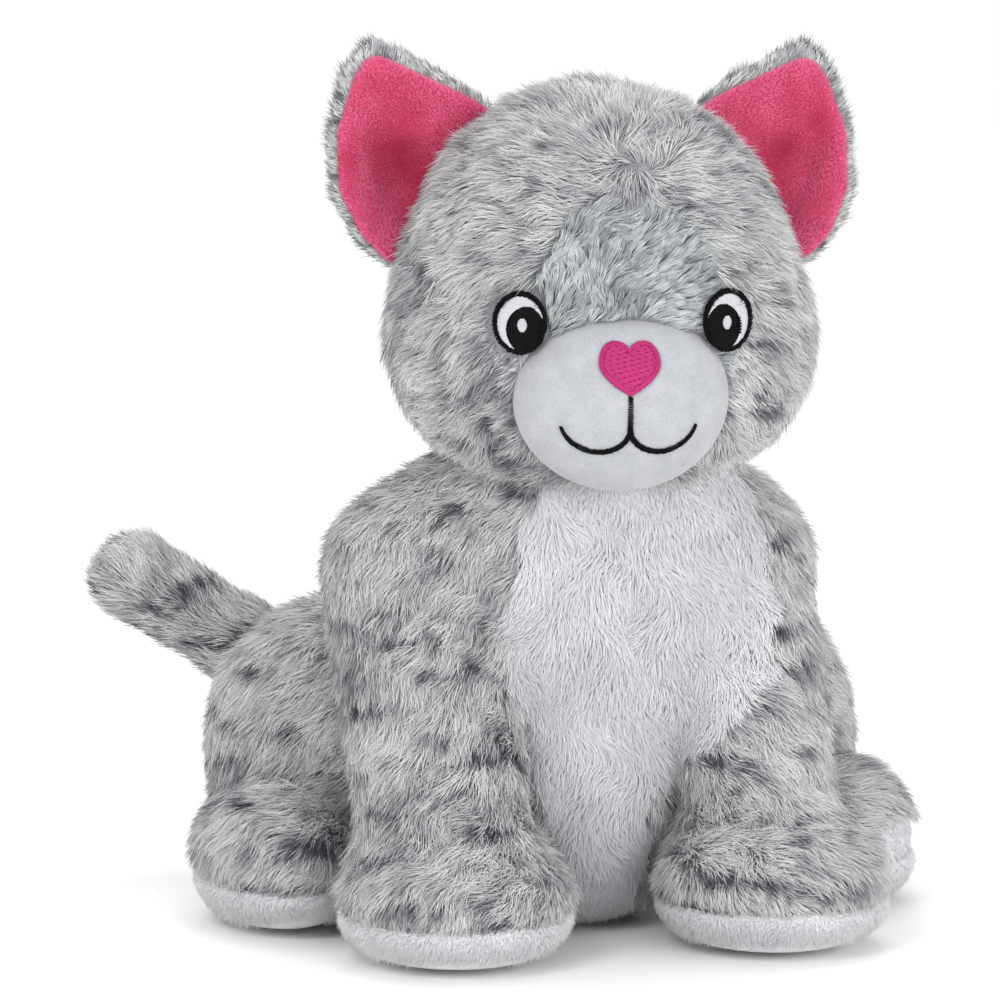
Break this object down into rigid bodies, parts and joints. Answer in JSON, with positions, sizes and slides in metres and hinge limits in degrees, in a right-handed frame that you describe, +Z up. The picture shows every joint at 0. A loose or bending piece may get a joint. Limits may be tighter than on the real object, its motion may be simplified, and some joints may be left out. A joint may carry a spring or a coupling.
{
  "type": "plush cat",
  "caption": "Seated soft toy cat in marbled grey long-pile plush with a white chest, muzzle and soles, pink ear linings, a heart-shaped nose and a tail curled to its right.",
  "frame": {"origin": "on the floor under the middle of the body, in the plane of the flat base and the soles", "axes": "+Z up; the cat's body faces -Y; +X is the cat's left"},
  "size_m": [0.2504, 0.2389, 0.2849],
  "materials": {
    "marbled_grey_pile": "matte",
    "short_grey_pile": "matte",
    "white_pile": "matte",
    "white_velour": "matte",
    "pink_velour": "matte",
    "black_embroidery": "satin",
    "white_embroidery": "satin",
    "pink_embroidery": "satin",
    "stuffing": "matte"
  },
  "bodies": {
    "torso": {"chest_panel": "white_pile", "side_panel_right": "marbled_grey_pile", "side_panel_left": "marbled_grey_pile", "base_panel": "white_velour", "body_stuffing": "stuffing"},
    "neck": {"neck_stuffing": "stuffing"},
    "head": {"cheek_panel_right": "marbled_grey_pile", "cheek_panel_left": "marbled_grey_pile", "head_back_panel": "marbled_grey_pile", "forehead_panel": "short_grey_pile", "muzzle_panel": "white_velour", "head_stuffing": "stuffing", "nose_heart": "pink_embroidery", "mouth_line": "black_embroidery", "eye_outline_right": "black_embroidery", "eye_white_right": "white_embroidery", "eye_pupil_right": "black_embroidery", "eye_highlight_right": "white_embroidery", "eye_outline_left": "black_embroidery", "eye_white_left": "white_embroidery", "eye_pupil_left": "black_embroidery", "eye_highlight_left": "white_embroidery"},
    "ear_right": {"ear_outer_right": "marbled_grey_pile", "ear_lining_right": "pink_velour"},
    "ear_left": {"ear_outer_left": "marbled_grey_pile", "ear_lining_left": "pink_velour"},
    "front_leg_right": {"front_leg_skin_right": "marbled_grey_pile", "front_sole_right": "white_velour", "front_leg_stuffing_right": "stuffing"},
    "front_leg_left": {"front_leg_skin_left": "marbled_grey_pile", "front_sole_left": "white_velour", "front_leg_stuffing_left": "stuffing"},
    "hind_leg_right": {"hind_leg_skin_right": "marbled_grey_pile", "hind_sole_right": "white_velour", "hind_leg_stuffing_right": "stuffing"},
    "hind_leg_left": {"hind_leg_skin_left": "marbled_grey_pile", "hind_sole_left": "white_velour", "hind_leg_stuffing_left": "stuffing"},
    "tail": {"tail_skin": "marbled_grey_pile", "tail_stuffing": "stuffing"}
  },
  "joints": [
    {"name": "neck_turn", "type": "hinge", "parent": "torso", "child": "neck", "pos_m": [0, -0.025, 0.15], "axis": [0, 0, 1], "range_deg": [-20, 20], "stiffness_Nm_per_rad": 0.6},
    {"name": "neck_nod", "type": "hinge", "parent": "neck", "child": "head", "pos_m": [0, -0.025, 0.15], "axis": [0.9903, -0.1392, 0], "range_deg": [-6, 6], "stiffness_Nm_per_rad": 3},
    {"name": "ear_flop_right", "type": "hinge", "parent": "head", "child": "ear_right", "pos_m": [-0.05092, -0.02087, 0.238], "axis": [-0.5553, -0.0973, -0.8259], "range_deg": [-20, 20], "stiffness_Nm_per_rad": 0.05},
    {"name": "ear_flop_left", "type": "hinge", "parent": "head", "child": "ear_left", "pos_m": [0.05009, -0.03507, 0.238], "axis": [0.507, -0.2466, -0.8259], "range_deg": [-20, 20], "stiffness_Nm_per_rad": 0.05},
    {"name": "front_leg_swing_right", "type": "hinge", "parent": "torso", "child": "front_leg_right", "pos_m": [-0.047, -0.012, 0.106], "axis": [-1, 0, 0], "range_deg": [0, 25], "stiffness_Nm_per_rad": 0.6},
    {"name": "front_leg_swing_left", "type": "hinge", "parent": "torso", "child": "front_leg_left", "pos_m": [0.047, -0.012, 0.106], "axis": [-1, 0, 0], "range_deg": [0, 25], "stiffness_Nm_per_rad": 0.6},
    {"name": "hind_leg_splay_right", "type": "hinge", "parent": "torso", "child": "hind_leg_right", "pos_m": [-0.064, 0.047, 0.052], "axis": [0, 0, -1], "range_deg": [0, 14], "stiffness_Nm_per_rad": 0.6},
    {"name": "hind_leg_splay_left", "type": "hinge", "parent": "torso", "child": "hind_leg_left", "pos_m": [0.064, 0.047, 0.052], "axis": [0, 0, 1], "range_deg": [0, 14], "stiffness_Nm_per_rad": 0.6},
    {"name": "tail_swing", "type": "hinge", "parent": "torso", "child": "tail", "pos_m": [-0.008, 0.092, 0.042], "axis": [0, 0, -1], "range_deg": [0, 35], "stiffness_Nm_per_rad": 0.2}
  ]
}
